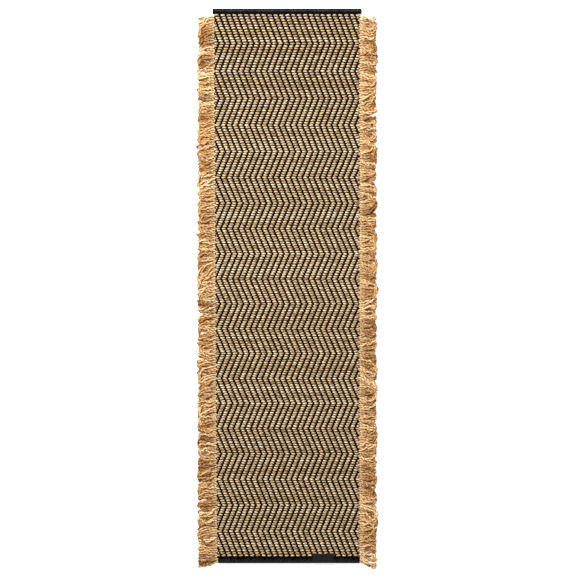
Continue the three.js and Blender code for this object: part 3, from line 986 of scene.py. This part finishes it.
WOVEN_JUTE = jute_material(
    "woven jute",
    [(0.0, (0.10, 0.047, 0.015)), (0.3, (0.275, 0.178, 0.092)), (0.6, (0.625, 0.507, 0.35)),
     (1.0, (0.95, 0.88, 0.75))],
    groove_shade_colour=(0.38, 0.26, 0.16), weights=(0.24, 1.05, 0.9), lengths=(10 * MM, 22 * MM),
)
LOOP_JUTE = jute_material(
    "loop jute",
    [(0.0, (0.085, 0.030, 0.006)), (0.3, (0.28, 0.130, 0.038)), (0.6, (0.565, 0.352, 0.158)),
     (1.0, (0.87, 0.69, 0.43))],
    groove_shade_colour=(0.28, 0.15, 0.055), weights=(0.6, 0.8, 0.7), lengths=(14 * MM, 40 * MM),
    root_colour=(0.60, 0.44, 0.25),
)

# %% [markdown]
# ## Cotton, tape, thread and label
#
# The black parts are told apart by their surfaces. The warp is soft dull yarn with a little lint. The
# tape is a fine herringbone with a slight shine on its ribs. The sewing thread is smoother, and the
# label is satin, with the finest ribs and the most shine.

# %% Black materials
def cotton_material(name, dark, lint, rough, specular, streak_length, depth):
    """Two dark tones mixed by fibre streaks, with raised fibres."""
    material, tree, shader = start_material(name, rough, specular)
    tint, _, streaks, slow, height = cord_fibres(tree, streak_length, 3.0)
    mix = sum_of(tree, "MULTIPLY_ADD", slow, 0.5, sum_of(tree, "MULTIPLY", tint, 0.2))
    colour = ramp_of(tree, sum_of(tree, "MULTIPLY", mix, streaks), [(0.1, dark), (0.7, lint)])
    worn = sum_of(tree, "MULTIPLY_ADD", streaks, -0.2, rough + 0.1)
    cover(tree, shader, colour, worn, height, depth)
    return material


def ribbed_material(name, valley, crest, rough, specular, rib, column, depth, crest_highlight=0.0):
    """A woven ribbon: colour, shine and height follow the ribs, with wear over the whole and lint, and
    a paler tone painted on its crest as a painted highlight."""
    material, tree, shader = start_material(name, rough, specular)
    u, v = own_map(tree, "cloth")
    ribs, threads = place_group(tree, RIBS, U=u, V=v, Rib=rib, Column=column)
    wear = noise_of(tree, vector_of(tree, u, v, 0.0), 110.0, 4.0, 0.65)
    lint = noise_of(tree, vector_of(tree, u, v, 0.3), 900.0, 2.0)
    mix = sum_of(tree, "MULTIPLY_ADD", ribs, 0.3, -0.6 - 0.75 * crest_highlight)
    mix = sum_of(tree, "MULTIPLY_ADD", wear, 1.6, mix)
    mix = sum_of(tree, "MULTIPLY_ADD", lint, 0.3, mix)
    # Painted highlight: the crest of the fold is painted paler.
    if crest_highlight:
        mix = sum_of(tree, "MULTIPLY_ADD", fact_of(tree, "crest"), crest_highlight, mix)
    colour = ramp_of(tree, mix, [(0.15, valley), (0.85, crest)])
    worn = sum_of(tree, "MULTIPLY_ADD", ribs, -0.18, rough + 0.12)
    cover(tree, shader, colour, worn, sum_of(tree, "MULTIPLY_ADD", threads, 0.35, ribs), depth)
    return material


def core_shade_material():
    """Painted shade for the cloth's depth: three dark tones of noise on Object coordinates."""
    material, tree, shader = start_material("dark core shade", 0.95, 0.05)
    place = tree.nodes.new("ShaderNodeTexCoord").outputs["Object"]
    lint = noise_of(tree, place, 700.0, 4.0, 0.6)
    # Painted shade: these near-black tones stand for the shaded depth of the cloth.
    tones = [(0.3, (0.004, 0.003, 0.0025)), (0.6, (0.012, 0.008, 0.005)), (0.8, (0.05, 0.03, 0.015))]
    cover(tree, shader, ramp_of(tree, lint, tones), 0.95, lint, 0.6 * MM)
    return material


WARP_COTTON = cotton_material(
    "black warp cotton", (0.0040, 0.0020, 0.0008), (0.036, 0.0195, 0.0070),
    rough=0.85, specular=0.02, streak_length=6 * MM, depth=0.4 * MM,
)
THREAD = cotton_material(
    "black sewing thread", (0.004, 0.004, 0.0045), (0.03, 0.03, 0.033),
    rough=0.5, specular=0.15, streak_length=2 * MM, depth=0.12 * MM,
)
# The head tape's colours are set lighter than the foot tape's: painted light, for the brighter light at the
# head end.
HEAD_TAPE = ribbed_material(
    "head tape cotton", (0.0018, 0.0018, 0.0020), (0.032, 0.032, 0.0335),
    rough=0.65, specular=0.03, rib=1.2 * MM, column=6 * MM, depth=0.22 * MM, crest_highlight=0.9,
)
FOOT_TAPE = ribbed_material(
    "foot tape cotton", (0.0002, 0.0002, 0.0003), (0.021, 0.0185, 0.0195),
    rough=0.7, specular=0.004, rib=1.2 * MM, column=6 * MM, depth=0.22 * MM, crest_highlight=0.6,
)
LABEL_SATIN = ribbed_material(
    "label satin", (0.003, 0.0028, 0.0031), (0.0145, 0.0138, 0.0148),
    rough=0.5, specular=0.08, rib=0.5 * MM, column=400 * MM, depth=0.06 * MM,
)
CORE_SHADE = core_shade_material()

# %% [markdown]
# ## Dress the pieces and hand them to the frame
#
# Every piece gets its material and rides on the one body, because nothing on a rug turns or slides.
# Each piece also stands for its plain solid, which is hidden.

# %% Materials, bodies and stand-ins
def hand_over(piece, material, node):
    """Dresses a piece, fixes it to the body and lets it stand for its CAD solid."""
    piece.data.materials.append(material)
    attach(piece, "root")
    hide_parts(node)


for piece in wefts:
    hand_over(piece, WOVEN_JUTE, "woven_field")
for piece in warps:
    hand_over(piece, WARP_COTTON, "woven_field")
hand_over(core, CORE_SHADE, "woven_field")
for node, piece in selvedges.items():
    hand_over(piece, WARP_COTTON, node)
for node, layers in fringes.items():
    for piece in layers + [fibres[node]]:
        hand_over(piece, LOOP_JUTE, node)
hand_over(fibres["woven_field"], WOVEN_JUTE, "woven_field")
hand_over(bindings["head_binding"], HEAD_TAPE, "head_binding")
hand_over(bindings["foot_binding"], FOOT_TAPE, "foot_binding")
for node, piece in threads.items():
    hand_over(piece, THREAD, node)
hand_over(label, LABEL_SATIN, "label")

# %% [markdown]
# ## What goes with the cloth
#
# The yarns, the fringe, the selvedges, the loose fibres and the threads are gathered in one list. A
# tape's flat width is twice what shows plus the half circle round the fold, and the label's flat
# length is what shows plus its two flaps.

# %% Pieces with the cloth
with_cloth = wefts + warps + sum(fringes.values(), [])
with_cloth += [*selvedges.values(), *fibres.values(), *threads.values()]

# %% [markdown]
# ## Floor, light and camera
#
# The floor is plain and nearly white. The light is a bright even surround with one large soft lamp
# from the head end and the left, just enough to round the beads. The camera looks straight down from
# far away through a long lens, so the rug's four edges stay parallel.

# %% Stage
FLOOR_REACH = 60.0
SURROUND = 0.38
LAMP_WATTS = 1900
CAMERA_HEIGHT = 12.0
VIEW_WIDTH = 2.597  # of the floor, from edge to edge of the view
floor_mesh = bpy.data.meshes.new("floor")
floor_corners = FLOOR_REACH * np.array([(-1, -1, 0), (1, -1, 0), (1, 1, 0), (-1, 1, 0)])
floor_mesh.from_pydata(floor_corners.tolist(), [], [(0, 1, 2, 3)])
floor = add_object("floor", floor_mesh)
floor_material, _, floor_shader = start_material("pale floor", 0.9, 0.1)
floor_shader.inputs["Base Color"].default_value = (0.93, 0.93, 0.93, 1)
floor_shader.inputs["Emission Color"].default_value = (1, 1, 1, 1)
floor_shader.inputs["Emission Strength"].default_value = 0.6
floor_mesh.materials.append(floor_material)

world = bpy.data.worlds.new("surround")
world.use_nodes = True
surround = world.node_tree.nodes["Background"]
surround.inputs["Color"].default_value = (1.0, 1.0, 1.0, 1)
surround.inputs["Strength"].default_value = SURROUND
bpy.context.scene.world = world

lamp_data = bpy.data.lights.new("soft lamp", "AREA")
lamp_data.shape, lamp_data.size, lamp_data.size_y = "RECTANGLE", 2.6, 2.6
lamp_data.energy = LAMP_WATTS
lamp = add_object("soft lamp", lamp_data)
lamp.location = (-3.6, 5.4, 6.0)
lamp.rotation_euler = (-lamp.location).to_track_quat("-Z", "Y").to_euler()

camera_data = bpy.data.cameras.new("camera")
camera = add_object("camera", camera_data)
camera_data.sensor_width = 36
camera_data.lens = camera_data.sensor_width * CAMERA_HEIGHT / VIEW_WIDTH
camera_data.clip_end = 200
camera.location = (0.0046, -0.0101, CAMERA_HEIGHT)
bpy.context.scene.camera = camera
bpy.context.scene.view_settings.view_transform = "Standard"
